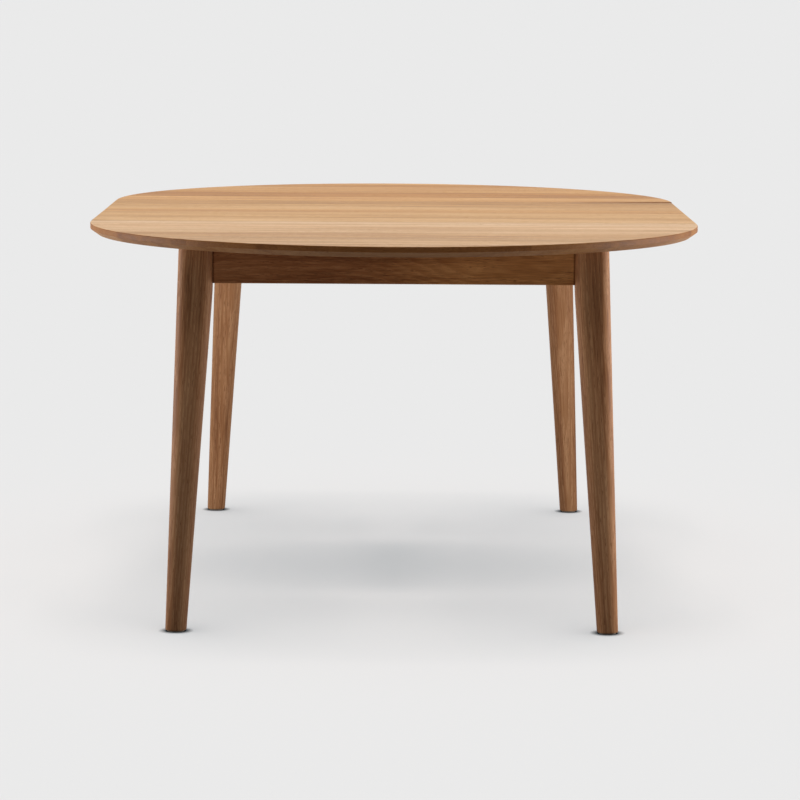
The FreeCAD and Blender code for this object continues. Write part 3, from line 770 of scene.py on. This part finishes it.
leaf_oak = top_material("oak_leaf", leaf_stave_shift, leaf_tint)
leaf_rings = board_rings(leaf_outline, leaf_seam_inset)
to_left = np.clip(-leaf_rings[..., 0] / leaf_high.x, 0, 1)
to_front = np.clip(-leaf_rings[..., 1] / leaf_high.y, 0, 1)
leaf_rings[..., 2] += leaf_twist * to_left**twist_fall_across * to_front**twist_fall_along
leaf_mesh = closed_rings("leaf_board", leaf_rings)
fitted_piece(leaf_mesh, "leaf", "leaf_panel", leaf_oak, board_crease)
finish_nodes(beech_along, ["leaf_batten_left", "leaf_batten_right"])
finish_nodes(plated_zinc, ["batten_screws"])


# Leaf locks. Cast zinc levers under the seams, each turning on a shoulder screw in one board.
# The lever hooks round a steel stud in the next board and holds the seam closed.
cast_dark = (0.36, 0.37, 0.38, 1)
cast_light = (0.50, 0.51, 0.52, 1)
cast_roughness = 0.38
cast_zinc = metal_material("cast_zinc", cast_dark, cast_light, cast_roughness)
for side_name in ("left", "right"):
    finish_nodes(cast_zinc, [f"lock_lever_front_{side_name}", f"lock_lever_leaf_{side_name}"])
finish_nodes(plated_zinc, ["lock_pivots_front", "lock_pivots_leaf", "lock_studs_leaf", "lock_studs_back"])


# Floor. A wide pale floor that keeps the table's shadow. The camera sees a share of its colour by the
# light that reaches it and the rest as it is written, both darkened close to the feet by a painted
# contact shadow.
floor_reach = 800.0
floor_turn = np.radians([90, 210, 330])
backdrop_grey = 0.823
shadow_share = 0.80
shadow_tint = (1.12, 1.0, 0.93)
contact_reach = 0.015
contact_depth = 2.5
floor_bounce = (0.23, 0.225, 0.22, 1)
overhead_strength = 1.0
ambient = 0.08


def seen_directly(tree):
    """1 for rays from the camera, or by reflection or through glass, and 0 for the light's own rays."""
    path = add_node(tree, "LightPath").outputs
    bright = calc(tree, "MAXIMUM", path["Is Camera Ray"], path["Is Glossy Ray"])
    return calc(tree, "MAXIMUM", bright, path["Is Transmission Ray"])


floor_mesh = bpy.data.meshes.new("floor")
floor_corners = np.stack([np.cos(floor_turn), np.sin(floor_turn), np.zeros(3)], axis=1) * floor_reach
floor_mesh.from_pydata(floor_corners.tolist(), [], [(0, 1, 2)])
floor = bpy.data.objects.new("floor", floor_mesh)
bpy.context.scene.collection.objects.link(floor)

floor_paper = bpy.data.materials.new("floor_paper")
floor_paper.use_nodes = True
paper_tree = floor_paper.node_tree
paper_tree.nodes.remove(paper_tree.nodes["Principled BSDF"])
lit_part = np.array(shadow_tint) * backdrop_grey * shadow_share
steady_part = backdrop_grey - lit_part
lit_colour = lit_part / (overhead_strength + ambient)
# An AO node paints a contact shadow round the feet into both parts of the floor's colour.
open_floor = add_node(paper_tree, "AmbientOcclusion", {"Distance": contact_reach}).outputs["AO"]
contact_shade = calc(paper_tree, "POWER", open_floor, contact_depth)
lit_sockets = {"Vector": lit_colour, "Scale": contact_shade}
shaded_paper = add_node(paper_tree, "VectorMath", lit_sockets, operation="SCALE").outputs[0]
paper_lit = add_node(paper_tree, "BsdfDiffuse", {"Color": shaded_paper}).outputs[0]
steady_sockets = {"Color": (*steady_part, 1), "Strength": contact_shade}
paper_steady = add_node(paper_tree, "Emission", steady_sockets).outputs[0]
paper_seen = add_node(paper_tree, "AddShader", (paper_lit, paper_steady)).outputs[0]
paper_bounce = add_node(paper_tree, "BsdfDiffuse", {"Color": floor_bounce}).outputs[0]
paper_choice = (seen_directly(paper_tree), paper_bounce, paper_seen)
paper = add_node(paper_tree, "MixShader", paper_choice).outputs[0]
paper_tree.links.new(paper, paper_tree.nodes["Material Output"].inputs["Surface"])
floor_mesh.materials.append(floor_paper)


# Light. A very large soft light overhead for the table, two like it for the floor, and a softbox at
# each side for the table alone. Most of the floor's light passes the boards of the top, so that the
# shadow stays light.
table_light_angle = 44
floor_light_angle = 50
floor_shade_angle = 60
floor_shade_share = 0.07
softbox_distance = 1.7
softbox_forward = 0.40
softbox_height = 0.5
softbox_aim = 0.45
softbox_width = 0.95
softbox_tall = 0.60
softbox_left_power = 18
softbox_right_power = 20.5


def linked_collection(name, objects, state):
    """Collection of objects that a light is linked to, or kept from."""
    collection = bpy.data.collections.new(name)
    for member in objects:
        collection.objects.link(member)
    for row in collection.collection_objects:
        row.light_linking.link_state = state
    return collection


def overhead_light(name, angle_degrees, share, receivers):
    """Even light from straight above, spread over a cone of the given angle, a share of the whole."""
    overhead = bpy.data.lights.new(name, "SUN")
    overhead.energy = math.pi * overhead_strength * share
    overhead.angle = math.radians(angle_degrees)
    lamp = bpy.data.objects.new(name, overhead)
    bpy.context.scene.collection.objects.link(lamp)
    lamp.light_linking.receiver_collection = receivers
    return lamp


table_only = linked_collection("table_only", [floor], "EXCLUDE")
floor_only = linked_collection("floor_only", [floor], "INCLUDE")
boards = [bpy.data.objects[name] for name in ("front_half_board", "back_half_board", "leaf_board")]
let_through = linked_collection("let_through", boards, "EXCLUDE")
overhead_light("table_light", table_light_angle, 1.0, table_only)
overhead_light("floor_shade", floor_shade_angle, floor_shade_share, floor_only)
floor_light = overhead_light("floor_light", floor_light_angle, 1 - floor_shade_share, floor_only)
floor_light.light_linking.blocker_collection = let_through

for side_name, side, power in (("left", -1, softbox_left_power), ("right", 1, softbox_right_power)):
    softbox = bpy.data.lights.new(f"softbox_{side_name}", "AREA")
    softbox.shape = "RECTANGLE"
    softbox.size = softbox_width
    softbox.size_y = softbox_tall
    softbox.energy = power
    lamp = bpy.data.objects.new(f"softbox_{side_name}", softbox)
    lamp.location = (side * softbox_distance, -softbox_forward, softbox_height)
    aim = Vector((0, -softbox_forward, softbox_aim)) - lamp.location
    lamp.rotation_euler = aim.to_track_quat("-Z", "Y").to_euler()
    bpy.context.scene.collection.objects.link(lamp)
    lamp.light_linking.receiver_collection = table_only

world = bpy.data.worlds.new("studio")
bpy.context.scene.world = world
world.use_nodes = True
world_tree = world.node_tree
world_light = world_tree.nodes["Background"]
world_light.inputs["Color"].default_value = (ambient, ambient, ambient, 1)
backdrop_colour = (backdrop_grey, backdrop_grey, backdrop_grey, 1)
backdrop = add_node(world_tree, "Background", {"Color": backdrop_colour})
world_choice = (seen_directly(world_tree), world_light.outputs[0], backdrop.outputs[0])
world_mix = add_node(world_tree, "MixShader", world_choice).outputs[0]
world_tree.links.new(world_mix, world_tree.nodes["World Output"].inputs["Surface"])


# Camera. It looks along the table from in front, a little above the top, with a long lens.
# Its place and its three turns are those at which the table's outline fits best.
image_width = 800
sensor_width = 36.0
focal_pixels = 3337.4
camera_place = Vector((0.0, -6.910, 1.240))
camera_pitch = 0.1282
camera_yaw = 0.0021
camera_roll = 0.00619
lens = bpy.data.cameras.new("camera")
lens.sensor_width = sensor_width
lens.lens = focal_pixels / image_width * sensor_width
ahead = Vector(
    (
        math.sin(camera_yaw) * math.cos(camera_pitch),
        math.cos(camera_yaw) * math.cos(camera_pitch),
        -math.sin(camera_pitch),
    )
)
level_right = ahead.cross(Vector((0, 0, 1))).normalized()
level_up = level_right.cross(ahead)
image_right = level_right * math.cos(camera_roll) + level_up * math.sin(camera_roll)
image_up = level_up * math.cos(camera_roll) - level_right * math.sin(camera_roll)
camera_turn = Matrix((image_right, image_up, -ahead)).transposed().to_4x4()
camera = bpy.data.objects.new("camera", lens)
camera.matrix_world = Matrix.Translation(camera_place) @ camera_turn
bpy.context.scene.collection.objects.link(camera)
bpy.context.scene.camera = camera
bpy.context.scene.view_settings.view_transform = "Standard"
